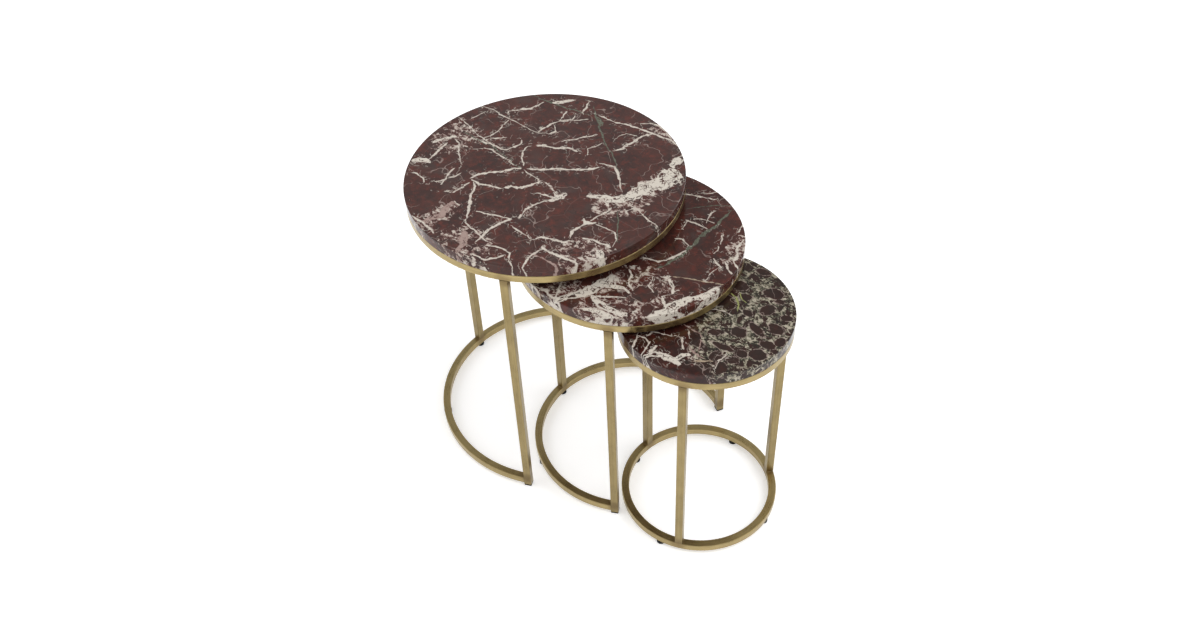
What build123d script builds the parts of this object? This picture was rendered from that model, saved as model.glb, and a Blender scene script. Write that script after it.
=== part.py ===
from build123d import *
from dataclasses import dataclass
from math import asin, cos, degrees, radians, sin, sqrt
import os

os.makedirs("parts", exist_ok=True)

# Three round nesting tables, fanned out along +X.  Each one stands under the one behind it and
# slides out between that table's two end legs.  Millimetres and degrees, +Z up, floor at z = 0.

# Overall sizes
large_diameter = 500.0
diameter_step = 100.0        # how much smaller each table is than the one it slides under
large_height = 582.5
middle_drop = 52.5           # from the large top down to the middle top
small_drop = 42.0            # from the middle top down to the small top

# Stone tops
stone_thickness = 20.0
stone_top_ease = 1.0
stone_under_ease = 0.6

# Square tube of the frames
tube_side = 14.5
tube_wall = 1.2
tube_corner = 1.2
tube_inner_corner = 0.4

# Feet
foot_height = 7.5            # from the floor to the underside of the base tubes
glide_diameter = 16.0
glide_edge = 1.0
glide_stem_diameter = 6.0
glide_stem_reach = 5.0       # how far the stem runs past the tube's wall
cap_thickness = 4.0
cap_edge = 0.5
plug_length = 12.0
plug_corner = 2.0
plug_lead = 1.5

# Stone fixings: a tab inside the ring, a screw up through it and an insert in the stone
tab_count = 4
tab_width = 26.0
tab_reach = 22.0
tab_thickness = 3.0
tab_corner = 3.0
screw_diameter = 5.0
screw_length = 14.0
screw_head_diameter = 9.5
screw_head_height = 3.0
screw_socket_size = 3.0
screw_socket_depth = 1.8
insert_diameter = 8.0
insert_length = 12.0
insert_hole_spare = 2.0      # depth of the stone's hole past the insert

# Fits
slip = 0.1                   # all round: stem, plug, insert, tab and screw in what holds them
tab_hole_play = 0.25         # all round, between a screw and its tab

# How the tables stand
pass_gap = 8.8               # each side, as a table goes out between the next one's end legs
middle_pull = 188.6          # centre of the middle table from the large one's, along X
small_pull = 187.1           # centre of the small table from the middle one's, along X
middle_leg_gap = 19.3        # from the middle top's edge to the large table's near leg
small_leg_gap = 9.5          # from the small top's edge to the middle table's near leg
small_turn = -7.6
large_glide_swing = 50.0     # each side of the back leg
middle_glide_swing = 60.0
small_glide_turn = 15.0
small_glide_count = 4

# Worked out
leg_reach = tube_side / sqrt(2)
base_top = foot_height + tube_side
insert_hole_diameter = insert_diameter + 2 * slip
glide_hole_diameter = glide_stem_diameter + 2 * slip
plug_side = tube_side - 2 * tube_wall - 2 * slip


@dataclass
class Table:
    """One table: its size, where it stands and where its legs and feet are."""
    name: str
    radius: float
    height: float
    x: float
    y: float
    leg_angles: dict
    glide_angles: list
    open_front: bool

    @property
    def leg_radius(self):
        return self.radius - tube_side / 2

    @property
    def ring_inside(self):
        return self.radius - tube_side

    @property
    def stone_underside(self):
        return self.height - stone_thickness

    @property
    def ring_underside(self):
        return self.stone_underside - tube_side

    @property
    def tab_hole_radius(self):
        return self.ring_inside - tab_reach / 2

    @property
    def tab_angles(self):
        return [index * 360 / tab_count for index in range(tab_count)]

    def level(self, z):
        """A horizontal plane on this table's axis."""
        return Plane((self.x, self.y, z))

    def axis(self):
        return Axis((self.x, self.y, 0), (0, 0, 1))

    def station(self, distance, angle, z):
        """A horizontal plane at this angle round the table, its x pointing outwards."""
        outward = (cos(radians(angle)), sin(radians(angle)), 0)
        place = (self.x + distance * outward[0], self.y + distance * outward[1], z)
        return Plane(place, x_dir=outward, z_dir=(0, 0, 1))


def leg_spread(radius, inner_radius):
    """Angle from the open side to an end leg, so that the next table just passes between the two."""
    return degrees(asin((inner_radius + pass_gap + leg_reach) / (radius - tube_side / 2)))


def sideways(leg_radius, spread, pull, inner_radius, gap):
    """How far off line the next table stands when its edge is this far from the nearer end leg."""
    leg_x = leg_radius * cos(radians(spread))
    leg_y = leg_radius * sin(radians(spread))
    apart = inner_radius + leg_reach + gap
    return leg_y - sqrt(apart ** 2 - (pull - leg_x) ** 2)


# Radii, leg spreads and places
large_radius = large_diameter / 2
middle_radius = large_radius - diameter_step / 2
small_radius = middle_radius - diameter_step / 2
large_spread = leg_spread(large_radius, middle_radius)
middle_spread = leg_spread(middle_radius, small_radius)
middle_side = sideways(large_radius - tube_side / 2, large_spread, middle_pull,
                       middle_radius, middle_leg_gap)
small_side = -sideways(middle_radius - tube_side / 2, middle_spread, small_pull,
                       small_radius, small_leg_gap)
large_x = (large_radius - middle_pull - small_pull - small_radius) / 2

large = Table(
    "large", large_radius, large_height, large_x, 0,
    {"right_leg": large_spread, "back_leg": 180, "left_leg": -large_spread},
    [180 - large_glide_swing, 180, 180 + large_glide_swing], True)
middle = Table(
    "middle", middle_radius, large.height - middle_drop, large.x + middle_pull, middle_side,
    {"right_leg": middle_spread, "back_leg": 180, "left_leg": -middle_spread},
    [180 - middle_glide_swing, 180, 180 + middle_glide_swing], True)
small = Table(
    "small", small_radius, middle.height - small_drop, middle.x + small_pull,
    middle.y + small_side,
    {"right_leg": 60 + small_turn, "back_leg": 180 + small_turn, "left_leg": -60 + small_turn},
    [small_turn + small_glide_turn + index * 360 / small_glide_count
     for index in range(small_glide_count)], False)


def keep(piece, name):
    """Name a finished piece and write it out."""
    piece.part.label = name
    export_step(piece.part, f"parts/{name}.step")


def tube_section():
    """The hollow square section of every frame tube, centred, in the sketch that is open."""
    inner_side = tube_side - 2 * tube_wall
    RectangleRounded(tube_side, tube_side, tube_corner)
    RectangleRounded(inner_side, inner_side, tube_inner_corner, mode=Mode.SUBTRACT)


def hoop(table, underside):
    """A full ring of square tube, its outer face at the table's radius, in the part that is open."""
    middle_of_tube = (table.x, table.y, underside + tube_side / 2)
    with BuildSketch(Plane(middle_of_tube, x_dir=(1, 0, 0), z_dir=(0, -1, 0))) as section:
        with Locations((table.leg_radius, 0)):
            tube_section()
    revolve(section.sketch, axis=table.axis())


def make_marble_top(table):
    """A round stone slab with eased edges and a blind hole over each tab for its insert."""
    with BuildPart() as marble_top:
        with BuildSketch(table.level(table.stone_underside)):
            Circle(table.radius)
        extrude(amount=stone_thickness)
        rims = marble_top.edges().sort_by(Axis.Z)
        fillet(rims[-1], stone_top_ease)
        fillet(marble_top.edges().filter_by(GeomType.CIRCLE).sort_by(Axis.Z)[0], stone_under_ease)
        with BuildSketch(table.level(table.stone_underside)):
            with PolarLocations(table.tab_hole_radius, tab_count):
                Circle(insert_hole_diameter / 2)
        extrude(amount=insert_length + insert_hole_spare, mode=Mode.SUBTRACT)
    keep(marble_top, f"{table.name}_marble_top")


def make_top_ring(table):
    """The brass ring that the stone lies on."""
    with BuildPart() as top_ring:
        hoop(table, table.ring_underside)
    keep(top_ring, f"{table.name}_top_ring")


def make_base(table):
    """The ring on the floor.  On a table that another slides under, it is a C ending at the legs."""
    with BuildPart() as base:
        hoop(table, foot_height)
        if table.open_front:
            # the C's ends lie flat against the end legs' sides
            spread = radians(table.leg_angles["right_leg"])
            apex = -tube_side / 2 / sin(spread)
            far = 4 * table.radius
            corner = (apex + far * cos(spread), far * sin(spread))
            with BuildSketch(table.level(foot_height)):
                with BuildLine():
                    Polyline((apex, 0), corner, (corner[0], -corner[1]), close=True)
                make_face()
            extrude(amount=tube_side, mode=Mode.SUBTRACT)
        for angle in table.glide_angles:
            with BuildSketch(table.station(table.leg_radius, angle, foot_height)):
                Circle(glide_hole_diameter / 2)
            extrude(amount=tube_wall, mode=Mode.SUBTRACT)
    keep(base, f"{table.name}_base_arc" if table.open_front else f"{table.name}_base_ring")


def make_leg(table, leg_name):
    """A square tube leg.  An end leg of an open base runs down past it to its own foot cap."""
    reaches_floor = table.open_front and leg_name != "back_leg"
    lower_end = cap_thickness if reaches_floor else base_top
    with BuildPart() as leg:
        with BuildSketch(table.station(table.leg_radius, table.leg_angles[leg_name], lower_end)):
            tube_section()
        extrude(amount=table.ring_underside - lower_end)
    keep(leg, f"{table.name}_{leg_name}")


def make_end_caps(table):
    """Square plastic caps, each with a plug inside the foot of an end leg."""
    with BuildPart() as end_caps:
        for leg_name in ("right_leg", "left_leg"):
            angle = table.leg_angles[leg_name]
            with BuildSketch(table.station(table.leg_radius, angle, 0)):
                RectangleRounded(tube_side, tube_side, tube_corner)
            extrude(amount=cap_thickness)
        chamfer(end_caps.faces().sort_by(Axis.Z)[:2].edges(), cap_edge)
        for leg_name in ("right_leg", "left_leg"):
            angle = table.leg_angles[leg_name]
            with BuildSketch(table.station(table.leg_radius, angle, cap_thickness)):
                RectangleRounded(plug_side, plug_side, plug_corner)
            extrude(amount=plug_length)
        chamfer(end_caps.faces().sort_by(Axis.Z)[-2:].edges(), plug_lead)
    keep(end_caps, f"{table.name}_end_caps")


def make_glides(table):
    """Round plastic feet, each with a stem up through the base tube's lower wall."""
    with BuildPart() as glides:
        for angle in table.glide_angles:
            with BuildSketch(table.station(table.leg_radius, angle, 0)):
                Circle(glide_diameter / 2)
            extrude(amount=foot_height)
        soles = glides.faces().sort_by(Axis.Z)[:len(table.glide_angles)]
        fillet(soles.edges(), glide_edge)
        for angle in table.glide_angles:
            with BuildSketch(table.station(table.leg_radius, angle, foot_height)):
                Circle(glide_stem_diameter / 2)
            extrude(amount=tube_wall + glide_stem_reach)
    keep(glides, f"{table.name}_glides")


def make_fixing_tabs(table):
    """Flat steel tabs on the inside of the top ring, level with its top, each with a screw hole."""
    with BuildPart() as fixing_tabs:
        with BuildSketch(table.level(table.stone_underside - tab_thickness)):
            for angle in table.tab_angles:
                with Locations(Location((0, 0, 0), angle)):
                    with Locations((table.ring_inside - tab_reach / 2, 0)):
                        RectangleRounded(tab_reach + 2 * tab_corner, tab_width, tab_corner)
            Circle(table.ring_inside - slip, mode=Mode.INTERSECT)
            with PolarLocations(table.tab_hole_radius, tab_count):
                Circle(screw_diameter / 2 + tab_hole_play, mode=Mode.SUBTRACT)
        extrude(amount=tab_thickness)
    keep(fixing_tabs, f"{table.name}_fixing_tabs")


def make_fixing_screws(table):
    """Socket-head screws, driven up through the tabs into the stone's inserts."""
    head_top = table.stone_underside - tab_thickness
    with BuildPart() as fixing_screws:
        with BuildSketch(table.level(head_top - screw_head_height)):
            with PolarLocations(table.tab_hole_radius, tab_count):
                Circle(screw_head_diameter / 2)
        extrude(amount=screw_head_height)
        with BuildSketch(table.level(head_top - screw_head_height)):
            with PolarLocations(table.tab_hole_radius, tab_count):
                RegularPolygon(screw_socket_size / 2, 6, major_radius=False)
        extrude(amount=screw_socket_depth, mode=Mode.SUBTRACT)
        with BuildSketch(table.level(head_top)):
            with PolarLocations(table.tab_hole_radius, tab_count):
                Circle(screw_diameter / 2)
        extrude(amount=screw_length)
    keep(fixing_screws, f"{table.name}_fixing_screws")


def make_stone_inserts(table):
    """Threaded brass bushes, bonded into the stone's holes."""
    with BuildPart() as stone_inserts:
        with BuildSketch(table.level(table.stone_underside)):
            with PolarLocations(table.tab_hole_radius, tab_count):
                Circle(insert_diameter / 2)
                Circle(screw_diameter / 2 + slip, mode=Mode.SUBTRACT)
        extrude(amount=insert_length)
    keep(stone_inserts, f"{table.name}_stone_inserts")


for table in (large, middle, small):
    make_marble_top(table)
    make_top_ring(table)
    make_base(table)
    for leg_name in table.leg_angles:
        make_leg(table, leg_name)
    if table.open_front:
        make_end_caps(table)
    make_glides(table)
    make_fixing_tabs(table)
    make_fixing_screws(table)
    make_stone_inserts(table)
    print(f"{table.name}: centre {table.x:.2f}, {table.y:.2f}, radius {table.radius:.1f}, "
          f"legs {table.leg_angles}")
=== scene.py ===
import math
import bpy
from mathutils import Matrix, Vector


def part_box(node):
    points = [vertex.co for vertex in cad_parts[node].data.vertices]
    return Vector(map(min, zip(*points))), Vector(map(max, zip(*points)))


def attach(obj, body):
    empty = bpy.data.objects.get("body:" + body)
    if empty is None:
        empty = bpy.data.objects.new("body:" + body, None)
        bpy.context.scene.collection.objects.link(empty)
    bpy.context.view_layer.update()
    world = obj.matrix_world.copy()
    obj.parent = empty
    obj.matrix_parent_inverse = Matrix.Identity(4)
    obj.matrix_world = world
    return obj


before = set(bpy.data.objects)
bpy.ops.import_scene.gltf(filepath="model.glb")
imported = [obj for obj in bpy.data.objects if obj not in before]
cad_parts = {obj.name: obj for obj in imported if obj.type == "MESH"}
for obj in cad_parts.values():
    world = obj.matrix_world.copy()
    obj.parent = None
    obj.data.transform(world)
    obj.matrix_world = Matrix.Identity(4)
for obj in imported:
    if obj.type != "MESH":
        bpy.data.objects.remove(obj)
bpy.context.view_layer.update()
print("frame loaded")

tables = ("large", "middle", "small")
legs = ("right_leg", "back_leg", "left_leg")
half = (0.5, 0.5, 0.5)                        # takes a noise colour's middle to nothing


class Wire:                                   # one socket, which takes part in sums like a number
    def __init__(self, tree, socket):
        self.tree = tree
        self.socket = socket

    def add(self, kind, settings=None, sockets=None, output=0):   # any node, its settings first
        node = self.tree.nodes.new(kind)
        for name, value in (settings or {}).items():
            if name == "stops":
                setStops(node.color_ramp, value)
            elif name == "curve":
                setCurve(node.mapping, value)
            else:
                setattr(node, name, value)
        for name, value in (sockets or {}).items():
            if isinstance(value, Wire):
                self.tree.links.new(value.socket, node.inputs[name])
            else:
                node.inputs[name].default_value = value
        return Wire(self.tree, node.outputs[output])

    def sum(self, operation, other=0.0, third=0.0, swapped=False):
        first, second = (other, self) if swapped else (self, other)
        return self.add("ShaderNodeMath", {"operation": operation},
                        {0: first, 1: second, 2: third})

    def __add__(self, other):
        return self.sum("ADD", other)

    def __radd__(self, other):
        return self.sum("ADD", other)

    def __sub__(self, other):
        return self.sum("SUBTRACT", other)

    def __rsub__(self, other):
        return self.sum("SUBTRACT", other, swapped=True)

    def __mul__(self, other):
        return self.sum("MULTIPLY", other)

    def __rmul__(self, other):
        return self.sum("MULTIPLY", other)

    def __abs__(self):
        return self.sum("ABSOLUTE")

    def atLeast(self, other):
        return self.sum("MAXIMUM", other)

    def atMost(self, other):
        return self.sum("MINIMUM", other)

    def ramp(self, low, high):                # 0 below low, 1 above high, smooth between
        return self.add("ShaderNodeMapRange", {"interpolation_type": "SMOOTHSTEP"},
                        {"Value": self, "From Min": low, "From Max": high})

    def vector(self, operation, other=(0, 0, 0), output=0):
        return self.add("ShaderNodeVectorMath", {"operation": operation}, {0: self, 1: other},
                        output)

    def stretched(self, factors):
        return self.vector("MULTIPLY", factors)

    def part(self, axis):                     # one coordinate of a vector
        unit = {"X": (1, 0, 0), "Y": (0, 1, 0), "Z": (0, 0, 1)}[axis]
        return self.vector("DOT_PRODUCT", unit, 1)

    def noise(self, size, detail=3.0, roughness=0.5, output="Fac"):
        return self.add("ShaderNodeTexNoise", {},
                        {"Vector": self, "Scale": 1 / size, "Detail": detail,
                         "Roughness": roughness}, output)

    def cells(self, size, feature="F1", output="Distance", randomness=1.0):
        return self.add("ShaderNodeTexVoronoi", {"feature": feature},
                        {"Vector": self, "Scale": 1 / size, "Randomness": randomness}, output)

    def warped(self, size, amount, detail=2.0):
        shake = self.noise(size, detail, 0.55, "Color").vector("SUBTRACT", half)
        return self.vector("ADD", shake.stretched((amount,) * 3))

    def mixed(self, first, second):           # this value picks between two colours
        return self.add("ShaderNodeMix", {"data_type": "RGBA", "clamp_factor": True},
                        {0: self, 6: first, 7: second}, 2)

    def blended(self, way, other):            # this colour with another added or multiplied in
        return self.add("ShaderNodeMix", {"data_type": "RGBA", "blend_type": way},
                        {0: 1.0, 6: self, 7: other}, 2)


def setStops(ramp, stops):
    for place, colour in stops[1:-1]:
        ramp.elements.new(place).color = (*colour, 1)
    ramp.elements[0].position, ramp.elements[0].color = stops[0][0], (*stops[0][1], 1)
    ramp.elements[-1].position, ramp.elements[-1].color = stops[-1][0], (*stops[-1][1], 1)


def setCurve(mapping, points):
    mapping.use_clip = False
    curve = mapping.curves[0]
    curve.points[0].location = points[0]
    curve.points[1].location = points[-1]
    for point in points[1:-1]:
        curve.points.new(*point)
    for point in curve.points:                # straight runs between the points
        point.handle_type = "VECTOR"
    mapping.update()


def newMaterial(name):
    material = bpy.data.materials.new(name)
    material.use_nodes = True
    tree = material.node_tree
    shader = tree.nodes["Principled BSDF"]
    place = Wire(tree, tree.nodes.new("ShaderNodeTexCoord").outputs["Object"])
    return material, tree, shader, place.stretched((1000, 1000, 1000))    # in millimetres


def feed(tree, shader, **sockets):
    for name, value in sockets.items():
        socket = shader.inputs[name.replace("_", " ")]
        if isinstance(value, Wire):
            tree.links.new(value.socket, socket)
        else:
            socket.default_value = value


def bumped(height, strength, distance):
    return height.add("ShaderNodeBump", {}, {"Height": height, "Strength": strength,
                                             "Distance": distance})


def paint(nodeNames, material):
    for name in nodeNames:
        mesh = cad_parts[name].data
        mesh.materials.clear()
        mesh.materials.append(material)


def opaque(colour, share=1.0):
    return (*[value * share for value in colour], 1)


def topOf(table):
    return f"{table}_marble_top"


def baseOf(table):
    return f"{table}_base_ring" if table == "small" else f"{table}_base_arc"


def middleOf(node):
    low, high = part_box(node)
    return (low + high) / 2


# Vein points are millimetres from the top's own centre, across the room side of the set.  Each
# vein also has its half width, and its kind: white, green or pink.
veins = {
    "large": [
        ("white", 9, [(166, 196), (162, 178), (163, 160), (172, 148)]),
        ("white", 24, [(180, 152), (180, 130), (182, 108), (176, 84)]),
        ("white", 19, [(176, 106), (172, 84), (166, 60), (160, 36)]),
        ("white", 12, [(166, 48), (150, 26), (136, 10), (146, -4)]),
        ("white", 6, [(146, 24), (128, 16), (112, 4), (98, -5)]),
        ("white", 2.6, [(48, 80), (66, 86), (88, 88), (104, 78), (122, 62), (144, 42)]),
        ("white", 3.6, [(72, 84), (62, 68), (44, 48), (22, 30), (4, 18), (-12, 2), (-40, -14)]),
        ("white", 3.6, [(-38, -12), (-56, -24), (-66, -42), (-82, -60), (-92, -78), (-95, -96)]),
        ("white", 2.8, [(-96, -94), (-72, -92), (-50, -82), (-28, -76)]),
        ("white", 4.0, [(-32, -76), (-22, -62), (-6, -56), (2, -40), (10, -20)]),
        ("white", 2.6, [(-92, -92), (-74, -102), (-64, -120), (-52, -138), (-36, -156),
                        (-16, -186)]),
        ("white", 3.4, [(8, 84), (-10, 84), (-26, 78), (-36, 68), (-56, 62), (-72, 50)]),
        ("white", 2.0, [(-70, 52), (-77, 40), (-76, 26), (-66, 12), (-52, 0), (-42, -12)]),
        ("white", 1.9, [(0, 150), (-10, 130), (-22, 112), (-34, 96), (-40, 84)]),
        ("white", 3.4, [(76, 212), (68, 190), (66, 166), (63, 142), (50, 120)]),
        ("green", 1.9, [(-78, 222), (-60, 202), (-38, 182), (-12, 166), (14, 142), (34, 128),
                        (52, 120), (76, 102), (102, 82), (130, 56)]),
        ("green", 1.5, [(166, 0), (184, -22), (204, -48), (222, -72)]),
        ("green", 5.5, [(-46, 186), (-34, 184), (-20, 176), (-10, 164)]),
        ("white", 2.4, [(-50, 190), (-20, 195), (4, 198), (30, 204), (52, 207), (86, 211),
                        (116, 214), (150, 202)]),
        ("white", 2.2, [(28, 204), (34, 216), (52, 232), (72, 236), (96, 226), (118, 214)]),
        ("green", 2.0, [(-190, 166), (-150, 170), (-112, 176), (-84, 178), (-44, 184)]),
        ("white", 2.4, [(-148, 170), (-152, 146), (-157, 130), (-172, 114), (-184, 102),
                        (-176, 88)]),
        ("white", 1.3, [(-246, 82), (-212, 85), (-176, 84), (-140, 85), (-104, 81), (-74, 86)]),
        ("white", 2.7, [(-98, 172), (-92, 150), (-86, 134), (-93, 118), (-94, 98), (-92, 80)]),
        ("white", 1.4, [(-46, 174), (-60, 156), (-74, 142), (-90, 126)]),
        ("white", 1.5, [(-76, 168), (-70, 150), (-80, 140), (-92, 132)]),
        ("white", 2.0, [(-90, 120), (-78, 114), (-68, 106), (-73, 92), (-92, 86)]),
        ("white", 1.7, [(-164, 86), (-160, 62), (-153, 42), (-154, 22), (-164, 6)]),
        ("white", 1.6, [(-248, 30), (-216, 22), (-192, 16), (-160, 10), (-140, 6)]),
        ("white", 3.2, [(-160, 2), (-136, 4), (-112, 4), (-98, 14)]),
        ("white", 2.4, [(-104, 6), (-98, 24), (-94, 38), (-102, 50)]),
        ("green", 1.7, [(-214, 4), (-176, 2), (-150, 0), (-120, -2), (-88, -8), (-62, -12),
                        (-30, -19)]),
        ("white", 1.6, [(-158, -30), (-142, -14), (-124, -8), (-92, -12), (-50, -14)]),
        ("white", 4.6, [(-202, -14), (-212, -28), (-222, -42), (-224, -58)]),
        ("white", 1.5, [(-206, -22), (-186, -28), (-170, -44), (-154, -56), (-132, -74)]),
        ("white", 3.0, [(-204, -36), (-200, -60), (-194, -84), (-192, -104)]),
        ("white", 7.0, [(-182, -102), (-196, -104), (-206, -112), (-216, -122)]),
        ("white", 1.8, [(-196, -146), (-180, -140), (-162, -142), (-148, -152)]),
        ("white", 2.2, [(-138, -82), (-134, -102), (-126, -120), (-122, -140)]),
        ("white", 1.7, [(-116, -84), (-120, -104), (-128, -122), (-138, -140)]),
        ("white", 2.0, [(-88, -98), (-90, -118), (-92, -138), (-106, -148)]),
        ("white", 2.0, [(14, -20), (34, -22), (48, -28), (62, -34)]),
        ("white", 6.5, [(68, -16), (66, -30), (64, -44), (58, -52)]),
        ("white", 2.4, [(62, -46), (54, -58), (46, -76), (41, -94), (48, -124)]),
        ("white", 2.4, [(64, -38), (46, -42), (34, -46), (22, -56)]),
        ("white", 1.6, [(-40, -16), (-14, -20), (4, -20), (10, -32), (2, -50)]),
        ("white", 2.0, [(-26, -150), (0, -143), (24, -135), (46, -126)]),
        ("white", 3.6, [(42, -124), (32, -146), (28, -166), (31, -188), (34, -214)]),
        ("white", 1.5, [(48, -140), (70, -143), (92, -143), (106, -150)]),
        ("white", 1.8, [(-22, -182), (10, -187), (34, -193), (54, -195)]),
        ("white", 2.8, [(106, -150), (113, -134), (132, -128), (152, -120), (156, -106)]),
        ("white", 2.6, [(154, -110), (144, -90), (146, -72), (148, -54)]),
        ("white", 5.5, [(134, -52), (144, -58), (154, -54), (160, -46)]),
        ("white", 2.2, [(152, 2), (156, -14), (150, -34), (148, -52)]),
        ("white", 1.6, [(156, -52), (176, -52), (200, -50), (214, -64), (222, -84)]),
        ("white", 2.6, [(222, -80), (204, -84), (182, -86), (166, -94)]),
        ("white", 8.0, [(206, -96), (216, -104), (224, -112), (214, -122)]),
        ("white", 3.0, [(124, -150), (152, -152), (184, -148), (208, -146), (228, -140)]),
        ("white", 2.2, [(134, -150), (131, -172), (132, -192), (138, -206), (146, -222)]),
        ("pink", 3.2, [(118, -180), (148, -171), (176, -172), (206, -180)]),
        ("white", 2.6, [(96, -200), (88, -216), (76, -232), (50, -236)]),
        ("white", 2.0, [(46, -208), (66, -196), (84, -192), (98, -194), (112, -212), (134, -224)]),
        ("pink", 7.0, [(-72, -154), (-68, -176), (-62, -196), (-72, -214), (-70, -234)]),
        ("white", 2.6, [(-102, -226), (-82, -228), (-60, -230), (-34, -236)]),
        ("pink", 9.0, [(-2, -196), (10, -212), (22, -228), (26, -248)]),
        ("white", 1.8, [(50, -240), (76, -242), (110, -246)]),
        ("white", 6.0, [(-136, 172), (-124, 184), (-112, 200), (-106, 206)]),
        ("white", 1.7, [(-86, 216), (-76, 200), (-72, 184), (-62, 176)]),
        ("white", 1.7, [(160, 26), (186, 26), (216, 16), (252, 8)]),
        ("white", 1.2, [(30, 150), (34, 168), (38, 180), (64, 186)]),
        ("white", 1.3, [(24, 132), (18, 114), (12, 102), (26, 84)]),
        ("white", 1.5, [(-124, 42), (-140, 26), (-150, 12), (-162, 2)]),
        ("white", 1.2, [(-216, 74), (-220, 56), (-226, 38)]),
    ],
    "middle": [
        ("white", 1.9, [(-2, 150), (18, 160), (36, 166), (60, 174)]),
        ("white", 1.6, [(28, 172), (40, 186), (50, 202)]),
        ("green", 1.1, [(26, 116), (48, 144), (70, 164), (98, 184)]),
        ("white", 1.4, [(74, 152), (70, 138), (74, 124), (82, 108)]),
        ("white", 2.2, [(44, 97), (62, 99), (80, 99), (98, 99)]),
        ("white", 1.6, [(54, 105), (66, 114), (80, 118), (94, 120)]),
        ("green", 4.2, [(93, 176), (96, 140), (98, 104), (96, 76), (101, 44), (99, 12), (92, -16),
                        (80, -44)]),
        ("white", 2.9, [(98, 38), (94, 14), (88, -4), (76, -18), (62, -23), (42, -28)]),
        ("white", 1.7, [(60, 44), (78, 50), (98, 43)]),
        ("white", 1.2, [(50, 100), (54, 84), (57, 70)]),
        ("white", 1.8, [(120, 106), (129, 93), (136, 78)]),
        ("white", 1.5, [(136, 76), (142, 64), (142, 52)]),
        ("white", 3.2, [(158, 122), (160, 100), (166, 88), (177, 74), (179, 60), (198, 48)]),
        ("white", 1.8, [(124, 162), (134, 146), (140, 124)]),
        ("white", 2.4, [(146, 48), (158, 40), (174, 35)]),
        ("white", 2.2, [(168, 52), (180, 42), (196, 32)]),
        ("white", 1.0, [(169, 38), (167, 14), (169, -12)]),
        ("tan", 1.7, [(114, -38), (134, -27), (152, -18), (170, -12), (184, -2), (204, 6)]),
        ("white", 10, [(196, -6), (194, -28), (188, -46), (176, -62)]),
        ("white", 11.5, [(178, -52), (168, -80), (166, -106), (154, -134), (144, -160)]),
        ("white", 11, [(44, -88), (40, -108), (38, -130), (30, -154), (12, -182), (0, -204)]),
        ("white", 5.5, [(42, -126), (56, -112), (72, -104), (90, -108)]),
        ("white", 2.0, [(44, -154), (62, -140), (78, -127), (96, -116)]),
        ("white", 7.5, [(40, -150), (64, -158), (92, -160), (124, -156)]),
        ("white", 6.0, [(46, -186), (70, -176), (96, -172), (122, -176), (142, -168)]),
        ("white", 3.6, [(96, -46), (118, -44), (136, -53), (146, -68), (138, -84), (162, -104)]),
        ("white", 1.8, [(94, -50), (102, -66), (105, -78), (124, -86)]),
        ("white", 2.6, [(52, -60), (66, -72), (72, -90), (90, -100)]),
        ("white", 2.2, [(-20, -146), (-13, -164), (-5, -182), (8, -204)]),
        ("white", 3.4, [(-52, -196), (-26, -190), (4, -194), (20, -200)]),
        ("white", 1.8, [(-88, -170), (-66, -182), (-44, -198)]),
    ],
    "small": [
        ("white", 5.4, [(42, -98), (33, -107), (31, -124)]),
        ("white", 8.4, [(46, -124), (22, -126), (4, -128), (-8, -138), (-16, -156)]),
        ("white", 3.8, [(-13, -112), (-12, -128), (-9, -150)]),
        ("pink", 1.6, [(-26, -50), (0, -53), (24, -53), (38, -60), (46, -76), (56, -96)]),
        ("white", 1.7, [(-52, -97), (-32, -91), (-12, -84), (10, -78)]),
        ("white", 1.6, [(4, -76), (16, -86), (28, -97)]),
        ("pink", 1.8, [(26, -85), (44, -92), (66, -90)]),
        ("white", 1.9, [(-60, -100), (-51, -122), (-46, -140), (-40, -154)]),
        ("white", 1.6, [(-54, -117), (-36, -113), (-22, -118)]),
        ("white", 1.9, [(-28, -110), (-22, -130), (-18, -152)]),
        ("white", 1.4, [(-37, -90), (-39, -110)]),
        ("white", 1.6, [(89, -58), (88, -80), (93, -104)]),
        ("white", 1.5, [(0, -4), (12, 11), (26, 15), (44, 12)]),
        ("lime", 1.9, [(4, 60), (22, 56), (34, 44), (44, 26)]),
        ("lime", 1.4, [(16, 72), (30, 60), (44, 56)]),
        ("white", 1.2, [(2, -54), (8, -62), (18, -74)]),
        ("tan", 2.0, [(48, -110), (60, -100), (70, -92), (80, -84)]),
    ],
}
veinColours = {                               # middle of the vein, then its edge
    "white": ((0.58, 0.53, 0.46), (0.31, 0.23, 0.20)),
    "green": ((0.105, 0.110, 0.078), (0.030, 0.031, 0.024)),
    "pink": ((0.33, 0.235, 0.205), (0.12, 0.052, 0.042)),
    "tan": ((0.38, 0.30, 0.21), (0.16, 0.10, 0.075)),
    "lime": ((0.36, 0.38, 0.14), (0.15, 0.16, 0.06)),
}
# Where the stone is broken up small: centre, reach along x and y, all in millimetres
broken = {
    "large": [(20, -222, 60, 44), (-66, -200, 28, 56), (196, -122, 60, 52), (176, 60, 30, 90),
              (-200, -20, 50, 56), (112, 226, 60, 20), (146, -4, 40, 30)],
    "middle": [(96, -104, 72, 84), (60, -170, 120, 50), (172, 100, 30, 60), (-60, -160, 90, 60)],
    "small": [(92, 0, 112, 140), (30, 116, 90, 60), (-70, 50, 80, 110)],
}
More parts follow.
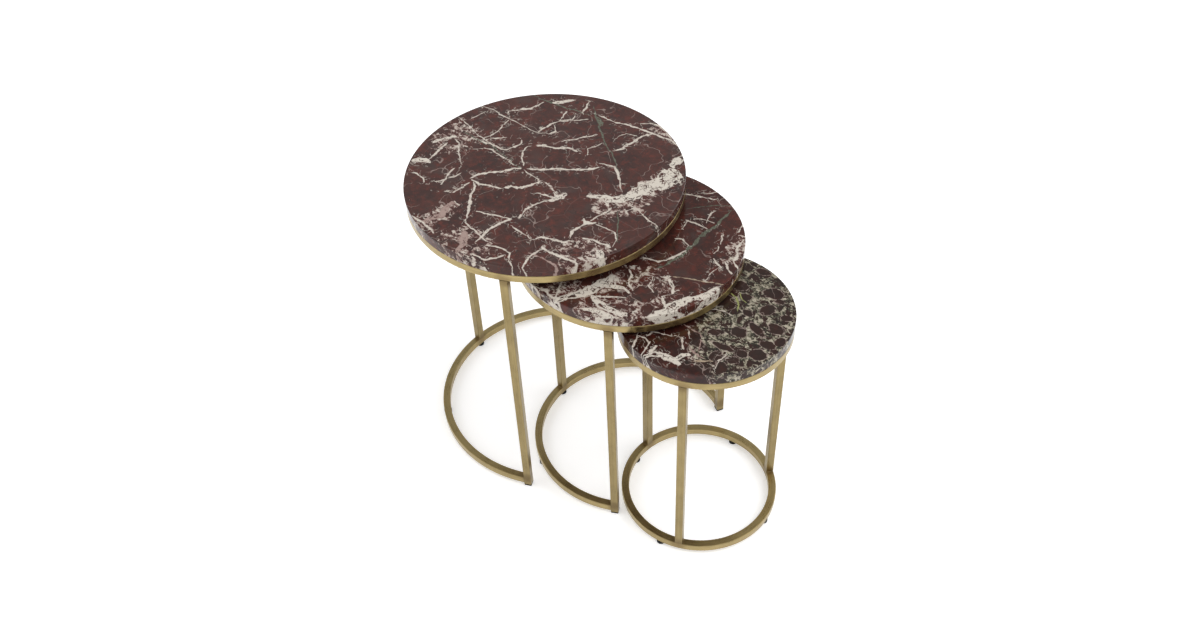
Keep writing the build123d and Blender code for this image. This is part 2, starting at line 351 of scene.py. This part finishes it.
# Pieces that lie whole in a broken patch: centre, reach along and across, turn in degrees
whole = {
    "large": [(36, -208, 15, 12, 20), (-44, -214, 14, 10, 70), (182, -128, 12, 10, 10),
              (168, -84, 14, 9, 60), (8, -236, 12, 8, 0), (-196, -34, 14, 9, 40)],
    "middle": [(112, -98, 20, 18, 40), (188, -84, 10, 24, -12), (165, -134, 7, 9, 0),
               (74, -126, 21, 10, 42), (60, -74, 10, 12, 0), (26, -186, 13, 15, 20),
               (24, -126, 12, 22, -20), (138, -124, 9, 12, 30), (96, -146, 14, 6, 10),
               (134, -50, 9, 7, 0), (96, -64, 13, 9, 30), (52, -162, 9, 8, 0)],
    "small": [(65, 101, 15, 11, 10), (33, 67, 9, 6, 20), (82, 62, 9, 13, -15), (85, 91, 7, 5, 0),
              (117, 34, 11, 8, 0), (72, -8, 12, 10, -10), (93, 13, 15, 6, -20),
              (126, -4, 11, 7, 15), (126, -32, 13, 11, 30), (105, -46, 8, 6, 0),
              (75, -50, 14, 4, 5), (79, -76, 9, 14, 10), (103, -67, 8, 8, 0),
              (97, -96, 11, 12, 20), (72, -119, 15, 11, 30), (14, -66, 30, 12, -6),
              (0, -104, 32, 13, -8), (14, 36, 18, 13, -30), (10, 84, 12, 9, 0),
              (20, 136, 10, 6, 10), (118, 66, 8, 6, 40), (138, 14, 7, 9, 0),
              (58, 36, 7, 5, 0), (44, -30, 9, 6, 40), (-30, -124, 18, 10, 40)],
}
veinShape = {
    "wideFrom": 5,                            # veins wider than this keep their width
    "wide": (0.42, 0.60),                     # share that comes and goes, and share that stays
    "fullness": (3.1, -0.75),
    "fullnessSize": 11,
    "raggedSize": 2.4,
    "ragged": 0.9,
    "edge": (-0.5, 0.35),                     # how crisp the sides are, in millimetres
    "holes": (1.2, 4.5),                      # how deep inside dark holes come
    "order": ("green", "tan", "lime", "pink", "white"),        # the last lies on top
}
scale = 100                                   # curve nodes hold these millimetres as 0..1


def veinDepth(point, kind, table, fullness):  # how far inside a vein of this kind, in millimetres
    deepest = None
    share, steady = veinShape["wide"]
    narrow = fullness * scale
    wide = fullness * (share * scale) + steady * scale
    for name, reach, route in veins[table]:
        if name != kind:
            continue
        start, end = Vector(route[0]), Vector(route[-1])
        ahead = (end - start).normalized()
        aside = Vector((-ahead.y, ahead.x))
        length = (end - start).length
        steps = [Vector(spot) - start for spot in route]
        line = [(step.dot(ahead) / length, 0.5 + step.dot(aside) / scale) for step in steps]
        shape = [(0.0, 0.5 - 0.02), (0.08, 0.5 + 0.006 * reach), (0.38, 0.5 + 0.01 * reach),
                 (0.66, 0.5 + 0.008 * reach), (0.92, 0.5 + 0.006 * reach), (1.0, 0.5 - 0.02)]
        along = (point.vector("DOT_PRODUCT", (*(ahead / length), 0), 1)
                 - start.dot(ahead) / length)
        across = point.vector("DOT_PRODUCT", (*aside, 0), 1)
        middle = along.add("ShaderNodeFloatCurve", {"curve": line}, {"Value": along})
        width = along.add("ShaderNodeFloatCurve", {"curve": shape}, {"Value": along})
        full = wide if reach > veinShape["wideFrom"] else narrow
        depth = (width - 0.5) * full - abs(across - start.dot(aside) - (middle - 0.5) * scale)
        deepest = depth if deepest is None else deepest.atLeast(depth)
    return deepest


def brokenness(point, table):                 # 1 in the middle of a broken patch, 0 outside
    most = None
    for x, y, reachX, reachY in broken[table]:
        own = point.vector("SUBTRACT", (x, y, 0)).stretched((1 / reachX, 1 / reachY, 0.02))
        inside = 1 - own.vector("LENGTH", output=1)
        most = inside if most is None else most.atLeast(inside)
    return most


def wholePieces(point, table):                # how far inside a whole piece, in millimetres
    deepest = None
    for x, y, reachAlong, reachAcross, turn in whole[table]:
        ahead = Vector((math.cos(math.radians(turn)), math.sin(math.radians(turn))))
        aside = Vector((-ahead.y, ahead.x))
        centre = Vector((x, y))
        along = abs(point.vector("DOT_PRODUCT", (*(ahead / reachAlong), 0), 1)
                    - centre.dot(ahead) / reachAlong)
        across = abs(point.vector("DOT_PRODUCT", (*(aside / reachAcross), 0), 1)
                     - centre.dot(aside) / reachAcross)
        corner = (along + across) * 0.74      # cut corners
        inside = (1 - along.atLeast(across).atLeast(corner)) * min(reachAlong, reachAcross)
        deepest = inside if deepest is None else deepest.atLeast(inside)
    return deepest


stone = {
    "dark": (0.029, 0.0098, 0.0078),
    "body": (0.054, 0.0165, 0.0120),
    "red": (0.112, 0.0215, 0.0130),
    "grey": (0.047, 0.031, 0.027),
    "greenGrey": (0.026, 0.0175, 0.014),
    "depth": {"large": 1.0, "middle": 1.0, "small": 0.65},      # darker stone with less
    "paintedSheen": {"large": 0.012, "middle": 0.004, "small": 0.0},   # painted sheen: grey added to the colour in place of the polish's reflection
    "greenness": {"large": 0.12, "middle": 0.22, "small": 0.62},
    "cloudSize": 75,                          # sizes are in millimetres
    "redSize": 16,
    "greySize": 44,
    "greenSize": 30,
    "redShare": 0.75,
    "greyShare": 0.6,
    "greenShare": 0.6,
    "blockSize": 60,
    "slip": 4,
    "lean": (0.35, -0.25),
    "grainSize": 1.1,
    "grain": (0.84, 0.32),                    # darkest speck, and how much is added to it
    "roughness": 0.14,
    "smears": 0.06,
    "shine": 0.24,
}
cracks = {
    "pale": (0.27, 0.205, 0.18),
    "dark": (0.012, 0.011, 0.009),
    "paleSize": 85,
    "paleWidth": 0.0055,
    "paleShare": 0.75,
    "darkSize": 52,
    "darkWidth": 0.007,
    "darkShare": 0.6,
    "jointWidth": 0.012,                      # the seams between the healed blocks
    "jointShare": 0.12,
}
rubble = {
    "pink": [(0.0, (0.045, 0.012, 0.010)), (0.34, (0.075, 0.027, 0.022)),
             (0.5, (0.20, 0.12, 0.10)), (0.64, (0.40, 0.32, 0.28)),
             (1.0, (0.50, 0.45, 0.39))],
    "green": [(0.0, (0.016, 0.011, 0.009)), (0.28, (0.034, 0.031, 0.022)),
              (0.42, (0.070, 0.066, 0.046)), (0.60, (0.20, 0.175, 0.125)),
              (0.9, (0.41, 0.37, 0.29))],
    "fill": {"large": 0.42, "middle": 0.39, "small": 0.40},     # paler filling with more
    "speckleSize": {"large": 6.5, "middle": 6.0, "small": 4.6},
    "patch": 2.4,                             # how strongly the patches show
    "ragged": 1.8,                            # how uneven their outlines are
    "pieceSize": 20,
    "crumbSize": 8.5,
    "webSize": 6.5,
    "gap": (0.7, 4.2),                        # narrowest filling between pieces, and what is added
}


def stoneBody(point, bent, table):            # clouds of dark, red, grey and green-grey
    clouds = bent.noise(stone["cloudSize"], 4, 0.6).ramp(0.30, 0.60)
    reds = bent.noise(stone["redSize"], 5, 0.68).ramp(0.44, 0.72)
    greys = point.warped(60, 30).noise(stone["greySize"], 3, 0.5).ramp(0.50, 0.72)
    dark, main, red, grey = (opaque(stone[name], stone["depth"][table])
                             for name in ("dark", "body", "red", "grey"))
    colour = clouds.mixed(dark, main)
    colour = (reds * stone["redShare"]).mixed(colour, red)
    colour = (greys * stone["greyShare"]).mixed(colour, grey)
    patches = brokenness(point, table)
    greens = (bent.noise(stone["greenSize"], 2) - 0.5
              + patches.ramp(0, 0.3) * stone["greenness"][table]).ramp(0.2, 0.6)
    colour = (greens * stone["greenShare"]).mixed(colour, opaque(stone["greenGrey"]))
    return colour, patches, greens


def withHairlines(colour, point, blocks, faulted):      # healed cracks that come and go
    strong = faulted.noise(70, 3, 0.6).ramp(0.38, 0.62)
    joints = blocks.warped(9, 1.6, 3).cells(stone["blockSize"], "DISTANCE_TO_EDGE")
    joints = (strong * cracks["jointWidth"] - joints).ramp(0, 0.008) * cracks["jointShare"]
    pale = abs(faulted.warped(12, 2.5, 3).noise(cracks["paleSize"], 2.5, 0.55) - 0.5)
    pale = ((cracks["paleWidth"] - pale).ramp(0, 0.0045)
            * faulted.noise(40, 2).ramp(0.42, 0.56) * cracks["paleShare"])
    dark = abs(point.warped(14, 3, 3).noise(cracks["darkSize"], 2.5, 0.55) - 0.5)
    dark = (cracks["darkWidth"] - dark).ramp(0, 0.006) * cracks["darkShare"]
    colour = dark.mixed(colour, opaque(cracks["dark"]))
    return joints.atLeast(pale).mixed(colour, opaque(cracks["pale"]))


# Broken patches: whole dark pieces in a pale, pink and green speckled filling.  The fine marks
# made here are used again inside the veins.
def withRubble(colour, bent, faulted, patches, greens, table):
    amount = (patches * rubble["patch"]
              + (bent.noise(16, 3) - 0.5) * rubble["ragged"]).ramp(0.05, 0.9)
    scraps = faulted.warped(15, 7, 2).warped(4, 1.8, 3)
    gaps = scraps.cells(rubble["pieceSize"], "DISTANCE_TO_EDGE") * rubble["pieceSize"]
    smallGaps = scraps.cells(rubble["crumbSize"], "DISTANCE_TO_EDGE") * rubble["crumbSize"]
    speckle = scraps.stretched((0.7, 1.35, 1)).noise(rubble["speckleSize"][table], 4, 0.64)
    drift = scraps.noise(15, 2, 0.5) - 0.5
    finer = scraps.noise(2.2, 3, 0.65)
    spread = scraps.noise(16, 3, 0.6).ramp(0.34, 0.64)
    crumbs = (amount * bent.noise(12, 2).ramp(0.46, 0.62) * 1.3 - smallGaps).ramp(-0.1, 0.5)
    folded = abs(bent.noise(26, 2.5, 0.55) - 0.5)
    threads = (0.016 - folded).ramp(0, 0.010)
    web = (0.09 - scraps.cells(rubble["webSize"], "DISTANCE_TO_EDGE")).ramp(0, 0.05)
    pieces = wholePieces(scraps, table)
    narrow, added = rubble["gap"]
    filling = (amount * (narrow + spread * added) - gaps).ramp(-0.1, 0.6).atLeast(crumbs)
    filling = filling * (-1.2 - pieces).ramp(0, 0.6)
    paleness = ((speckle - 0.5) * 2.8 + (finer - 0.5) * 1.1 + drift * 2.0 + threads * 0.3
                + web * 0.16 + rubble["fill"][table])
    pink = paleness.add("ShaderNodeValToRGB", {"stops": rubble["pink"]}, {0: paleness})
    green = paleness.add("ShaderNodeValToRGB", {"stops": rubble["green"]}, {0: paleness})
    colour = filling.mixed(colour, greens.mixed(pink, green))
    outline = (1.1 - abs(pieces + 2.2)).ramp(0, 0.8) * speckle.ramp(0.42, 0.54) * amount
    colour = (outline * 0.8).mixed(colour, opaque(cracks["pale"]))
    return colour, {"scraps": scraps, "gaps": gaps, "speckle": speckle, "drift": drift,
                    "finer": finer, "threads": threads, "web": web}


def withVeins(colour, body, bent, faulted, marks, table):
    speckle, threads = marks["speckle"], marks["threads"]
    most, least = veinShape["fullness"]
    fullness = faulted.noise(veinShape["fullnessSize"], 2, 0.55) * most + least
    ragged = (bent.noise(veinShape["raggedSize"], 3, 0.6) - 0.5) * veinShape["ragged"]
    stain = (0.36 - speckle).ramp(0, 0.04)
    scrap = (marks["gaps"] - 3).ramp(0, 1.2) * marks["scraps"].noise(24, 2).ramp(0.5, 0.52)
    scrap = scrap.atLeast(stain)
    for kind in veinShape["order"]:
        depth = veinDepth(bent, kind, table, fullness)
        if depth is None:
            continue
        middleColour, edgeColour = (opaque(shade) for shade in veinColours[kind])
        if kind == "white":                   # finer threads beside it
            beside = depth.ramp(-15, -1) * threads * speckle.ramp(0.40, 0.58)
            colour = (beside * 0.7).mixed(colour, middleColour)
        inside = (depth + ragged).ramp(*veinShape["edge"])
        winding = marks["web"] * (0.03 - marks["drift"]).ramp(0, 0.06)
        holes = depth.ramp(*veinShape["holes"]) * scrap.atLeast(winding)
        core = (depth.atMost(3) * 0.2 + (speckle - 0.5) * 2.6
                + (marks["finer"] - 0.5) * 1.4 + 0.6)
        streak = core.mixed(edgeColour, middleColour)
        colour = inside.mixed(colour, holes.mixed(streak, body))
    return colour


def marble(table):
    material, tree, shader, place = newMaterial(f"{table} marble")
    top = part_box(topOf(table))[1]
    centre = middleOf(topOf(table))
    own = place.vector("SUBTRACT", (centre.x * 1000, centre.y * 1000, top.z * 1000))
    down = own.part("Z")
    leanX, leanY = stone["lean"]
    lean = own.add("ShaderNodeCombineXYZ", {}, {0: down * leanX, 1: down * leanY})
    point = own.vector("ADD", lean)           # veins slant as they run down the rim

    # the stone once broke into blocks that slid a little, then healed
    slip = stone["slip"]
    blocks = point.warped(60, 14, 2)
    slid = blocks.cells(stone["blockSize"], "F1", "Color").vector("SUBTRACT", half)
    faulted = point.vector("ADD", slid.stretched((slip, slip, 0)))
    bent = faulted.warped(24, 7, 2).warped(9, 2.6, 1.2)

    body, patches, greens = stoneBody(point, bent, table)
    colour = withHairlines(body, point, blocks, faulted)
    colour, marks = withRubble(colour, bent, faulted, patches, greens, table)
    colour = withVeins(colour, body, bent, faulted, marks, table)

    paintedSheen = point.part("Z").ramp(-0.9, -0.2) * stone["paintedSheen"][table]      # painted sheen, on the top face only
    colour = colour.blended("ADD", paintedSheen)
    darkest, added = stone["grain"]
    colour = colour.blended("MULTIPLY", darkest + point.noise(stone["grainSize"], 2) * added)
    polish = stone["roughness"] + (bent.noise(14, 3) - 0.5) * stone["smears"]
    relief = point.noise(0.7, 2) * 0.25 + point.noise(30, 1)
    feed(tree, shader, Base_Color=colour, Roughness=polish, Normal=bumped(relief, 0.12, 0.0004),
         Specular_IOR_Level=stone["shine"])
    return material


for table in tables:
    paint([topOf(table)], marble(table))
    print(f"{table} marble made")


brass = {
    "light": (0.45, 0.350, 0.165),
    "shade": (0.27, 0.205, 0.094),
    "jointDarkening": (0.15, 0.095, 0.045),
    "ringShare": 0.98,                        # how much of the colour the rings show
    "legPaintedShade": 0.75,                         # painted shade: the legs' brass is darker than the rings' for the shade on their upright sides
    "strokeSize": 0.55,                       # width of a brush stroke, in millimetres
    "strokeLength": 0.02,                     # how much slower it changes along the stroke
    "cloudSize": 34,
    "jointReach": (6, 22),                     # millimetres from a weld
    "roughness": 0.30,
}


def welds(table):                             # where each leg meets a ring, in millimetres
    spots = []
    for leg in legs:
        low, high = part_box(f"{table}_{leg}")
        middle = (low + high) / 2
        spots.append(Vector((middle.x, middle.y, high.z)) * 1000)
        spots.append(Vector((middle.x, middle.y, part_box(baseOf(table))[1].z)) * 1000)
    return spots


def brushedBrass(table, round):               # brushed round the ring, or up and down a leg
    material, tree, shader, place = newMaterial(f"{table} brass {'ring' if round else 'leg'}")
    centre = middleOf(topOf(table)) * 1000
    own = place.vector("SUBTRACT", (centre.x, centre.y, 0))
    if round:
        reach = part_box(topOf(table))[1].x * 1000 - centre.x
        turn = own.part("Y").sum("ARCTAN2", own.part("X")) * reach
        flat = own.stretched((1, 1, 0)).vector("LENGTH", output=1)
        grained = own.add("ShaderNodeCombineXYZ", {},
                          {0: turn * brass["strokeLength"], 1: flat, 2: own.part("Z")})
    else:
        grained = own.stretched((1, 1, brass["strokeLength"]))
    strokes = grained.noise(brass["strokeSize"], 3, 0.65)
    wide = grained.noise(3.5, 2, 0.5)
    cloud = own.noise(brass["cloudSize"], 4, 0.6)
    tone = (strokes * 0.5 + wide * 0.3 + cloud * 0.4 - 0.1).ramp(0.25, 0.75)
    # legs take the painted shade: the same brass, made darker
    share = brass["ringShare"] if round else brass["legPaintedShade"]
    light, shade, jointColour = (opaque(brass[name], share) for name in ("light", "shade", "jointDarkening"))
    colour = tone.mixed(shade, light)
    jointDarkening = None
    for spot in welds(table):
        away = place.vector("DISTANCE", tuple(spot), output=1)
        near = 1 - (away + (cloud - 0.5) * 14).ramp(*brass["jointReach"])
        jointDarkening = near if jointDarkening is None else jointDarkening.atLeast(near)
    # darker brass near where each leg meets a ring
    colour = (jointDarkening * (0.35 + wide * 0.5)).mixed(colour, jointColour)
    rough = brass["roughness"] + (strokes - 0.5) * 0.22 + (cloud - 0.5) * 0.12 + jointDarkening * 0.08
    feed(tree, shader, Base_Color=colour, Metallic=1.0, Roughness=rough,
         Normal=bumped(strokes, 0.10, 0.0003))
    return material


finishes = {                                  # speck sizes are in millimetres
    "black plastic": {"dark": (0.003, 0.003, 0.003), "light": (0.007, 0.007, 0.0065),
                      "size": 0.6, "roughness": 0.62, "metallic": 0.0, "shine": 0.15},
    "plated steel": {"dark": (0.36, 0.35, 0.33), "light": (0.55, 0.54, 0.52),
                     "size": 1.4, "roughness": 0.36, "metallic": 1.0, "shine": 0.5},
    "turned brass": {"dark": (0.52, 0.40, 0.20), "light": (0.66, 0.53, 0.30),
                     "size": 1.2, "roughness": 0.3, "metallic": 1.0, "shine": 0.5},
}


def speckled(name):
    finish = finishes[name]
    material, tree, shader, place = newMaterial(name)
    spots = place.noise(finish["size"], 3, 0.6)
    rough = finish["roughness"] + (place.noise(finish["size"] * 3, 2) - 0.5) * 0.16
    colour = spots.ramp(0.3, 0.7).mixed(opaque(finish["dark"]), opaque(finish["light"]))
    feed(tree, shader, Base_Color=colour, Roughness=rough, Metallic=finish["metallic"],
         Specular_IOR_Level=finish["shine"], Normal=bumped(spots, 0.08, 0.0002))
    return material


blackPlastic, platedSteel, turnedBrass = (speckled(name) for name in finishes)
for table in tables:
    paint([f"{table}_top_ring", baseOf(table), f"{table}_fixing_tabs"],
          brushedBrass(table, True))
    paint([f"{table}_{leg}" for leg in legs], brushedBrass(table, False))
    paint([f"{table}_glides"], blackPlastic)
    if table != "small":
        paint([f"{table}_end_caps"], blackPlastic)
    paint([f"{table}_fixing_screws"], platedSteel)
    paint([f"{table}_stone_inserts"], turnedBrass)
print("metal and plastic made")


weld = {
    "run": 0.0017,                            # how far a bead spreads over each face
    "length": 0.86,                           # share of the tube's side
    "round": 0.92,                            # share of the run that is rounded off
    "ripples": 9,
    "ripple": 0.80,                           # how thin it gets between two ripples
    "tips": 0.3,                              # how thin it is at its ends
}
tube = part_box("large_top_ring")[1].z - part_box("large_top_ring")[0].z


def chooseNothing():
    bpy.ops.object.mode_set(mode="OBJECT")
    bpy.ops.object.select_all(action="DESELECT")


def makeBead():                               # one bead in the corner of two faces, at the origin
    bpy.ops.object.select_all(action="DESELECT")
    run, length = weld["run"], weld["length"] * tube
    bpy.ops.mesh.primitive_cube_add(size=1, location=(0, run / 2, run / 2),
                                    scale=(length, run, run))
    bead = bpy.context.object
    bpy.ops.object.transform_apply(location=True, rotation=True, scale=True)
    bpy.ops.object.mode_set(mode="EDIT")
    bpy.ops.mesh.select_all(action="DESELECT")
    bpy.ops.object.mode_set(mode="OBJECT")
    for edge in bead.data.edges:              # the edge that faces away from the corner
        ends = [bead.data.vertices[index].co for index in edge.vertices]
        edge.select = all(end.y > run / 2 and end.z > run / 2 for end in ends)
    bpy.ops.object.mode_set(mode="EDIT")
    bpy.ops.mesh.select_mode(type="EDGE")
    bpy.ops.mesh.bevel(offset=run * weld["round"], segments=4, profile=0.35)
    cuts = 2 * weld["ripples"]
    for index in range(1, cuts):              # every second cut is drawn in
        bpy.ops.mesh.select_all(action="SELECT")
        along = length * (index / cuts - 0.5)
        bpy.ops.mesh.bisect(plane_co=(along, 0, 0), plane_no=(1, 0, 0))
        if index % 2 == 0:
            bpy.ops.transform.resize(value=(1, weld["ripple"], weld["ripple"]),
                                     center_override=(along, 0, 0))
    for end in (-length / 2, length / 2):     # both ends taper off
        bpy.ops.mesh.select_all(action="DESELECT")
        bpy.ops.object.mode_set(mode="OBJECT")
        for vertex in bead.data.vertices:
            vertex.select = abs(vertex.co.x - end) < 1e-6
        bpy.ops.object.mode_set(mode="EDIT")
        bpy.ops.mesh.select_mode(type="VERT")
        bpy.ops.transform.resize(value=(1, weld["tips"], weld["tips"]),
                                 center_override=(end, 0, 0))
    bpy.ops.mesh.select_all(action="SELECT")
    bpy.ops.mesh.normals_make_consistent(inside=False)
    chooseNothing()
    return bead


def weldPlaces(table):                        # angle, height, side of the leg, above or below
    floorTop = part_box(baseOf(table))[1].z
    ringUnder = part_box(f"{table}_top_ring")[0].z
    centre = middleOf(topOf(table))
    for leg in legs:
        spot = middleOf(f"{table}_{leg}") - centre
        angle = math.atan2(spot.y, spot.x)
        open = table != "small" and leg != "back_leg"
        sides = ([1] if spot.y > 0 else [-1]) if open else [1, -1]
        for side in sides:
            yield angle, floorTop, side, 1
        for side in (1, -1):
            yield angle, ringUnder, side, -1


def weldFrame(bead, table):
    centre = middleOf(topOf(table))
    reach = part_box(topOf(table))[1].x - centre.x - tube / 2
    flips = {(1, 1): None, (-1, 1): "Z", (-1, -1): "X", (1, -1): "Y"}
    copies = []
    for angle, height, side, up in weldPlaces(table):
        chooseNothing()
        bead.select_set(True)
        bpy.context.view_layer.objects.active = bead
        bpy.ops.object.duplicate(linked=False)
        copy = bpy.context.object
        axis = flips[(side, up)]
        turned = Matrix.Rotation(math.pi, 4, axis) if axis else Matrix.Identity(4)
        copy.matrix_world = (Matrix.Translation((centre.x, centre.y, 0))
                             @ Matrix.Rotation(angle, 4, "Z")
                             @ Matrix.Translation((reach, side * tube / 2, height)) @ turned)
        copies.append(copy)
    chooseNothing()
    for copy in copies:
        copy.select_set(True)
    bpy.context.view_layer.objects.active = copies[0]
    bpy.ops.object.transform_apply(location=True, rotation=True, scale=True)
    bpy.ops.object.join()
    bpy.ops.object.transform_apply(location=True, rotation=True, scale=True)
    beads = bpy.context.object
    beads.name = beads.data.name = f"{table}_weld_beads"
    bpy.ops.object.shade_smooth_by_angle(angle=math.radians(50))
    beads.data.materials.clear()
    # the beads take the legs' brass with its painted shade
    beads.data.materials.append(bpy.data.materials[f"{table} brass leg"])
    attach(beads, f"{table}_table")


bead = makeBead()
for table in tables:
    weldFrame(bead, table)
bpy.data.objects.remove(bead)
print("weld beads made")


studio = {
    "floorSize": 40.0,
    "floorColour": (0.93, 0.93, 0.93),
    "sky": (0.54, 0.58),                      # towards the far side, and behind the viewer
    "skyTurn": 131,
    "floorGlow": 0.35,                        # keeps the floor white under the tables
    "lamps": [                                # name, heading, height, strength, spread in degrees
        ("overhead", 40, 66, 0.95, 60),
        ("leftSide", -150, 42, 0.75, 60),
        ("rightSide", 10, 42, 0.75, 60),
    ],
    "camera": (1.0602, -1.2012, 1.8650),
    "heading": 131.81,                        # degrees round from +X
    "dip": 45.66,
    "roll": -2.42,
    "lens": 35.6,
    "shift": (-0.0035, 0.0230),
}


def buildStudio():
    bpy.ops.mesh.primitive_plane_add(size=studio["floorSize"], location=(0, 0, 0))
    floor = bpy.context.object
    floor.name = "floor"
    material, tree, shader, place = newMaterial("pale floor")
    feed(tree, shader, Base_Color=(*studio["floorColour"], 1), Roughness=0.9,
         Specular_IOR_Level=0.0, Emission_Color=(1, 1, 1, 1),
         Emission_Strength=studio["floorGlow"])
    underside = place.add("ShaderNodeNewGeometry", output=6)
    clear = place.add("ShaderNodeBsdfTransparent")
    seen = place.add("ShaderNodeMixShader", {},
                     {0: underside, 1: Wire(tree, shader.outputs["BSDF"]), 2: clear})
    tree.links.new(seen.socket, tree.nodes["Material Output"].inputs["Surface"])
    floor.data.materials.append(material)

    world = bpy.data.worlds.new("studio sky")
    bpy.context.scene.world = world
    world.use_nodes = True
    sky = world.node_tree.nodes["Background"]
    sky.inputs["Color"].default_value = (1, 1, 1, 1)
    way = Wire(world.node_tree, world.node_tree.nodes.new("ShaderNodeTexCoord").outputs[0])
    far = math.radians(studio["skyTurn"])
    towards = way.vector("DOT_PRODUCT", (math.cos(far), math.sin(far), 0), 1)
    low, high = studio["sky"]
    glow = high + towards.ramp(-0.5, 0.6) * (low - high)
    world.node_tree.links.new(glow.socket, sky.inputs["Strength"])
    for name, heading, height, strength, spread in studio["lamps"]:
        bpy.ops.object.light_add(type="SUN", location=(0, 0, 3))
        lamp = bpy.context.object
        lamp.name = name
        lamp.data.energy = strength
        lamp.data.angle = math.radians(spread)
        around, up = math.radians(heading), math.radians(height)
        aim = Vector((-math.cos(around) * math.cos(up), -math.sin(around) * math.cos(up),
                      -math.sin(up)))
        lamp.rotation_euler = aim.to_track_quat("-Z", "Y").to_euler()

    bpy.ops.object.camera_add(location=studio["camera"])
    camera = bpy.context.object
    camera.name = "view"
    turn = (Matrix.Rotation(math.radians(studio["heading"] - 90), 4, "Z")
            @ Matrix.Rotation(math.radians(90 - studio["dip"]), 4, "X")
            @ Matrix.Rotation(math.radians(studio["roll"]), 4, "Z"))
    camera.rotation_euler = turn.to_euler()
    camera.data.sensor_width = 36
    camera.data.lens = studio["lens"]
    camera.data.shift_x, camera.data.shift_y = studio["shift"]
    camera.data.dof.use_dof = False
    bpy.context.scene.camera = camera
    bpy.context.scene.view_settings.view_transform = "Standard"
    bpy.context.scene.view_settings.look = "None"


buildStudio()
print("studio built")
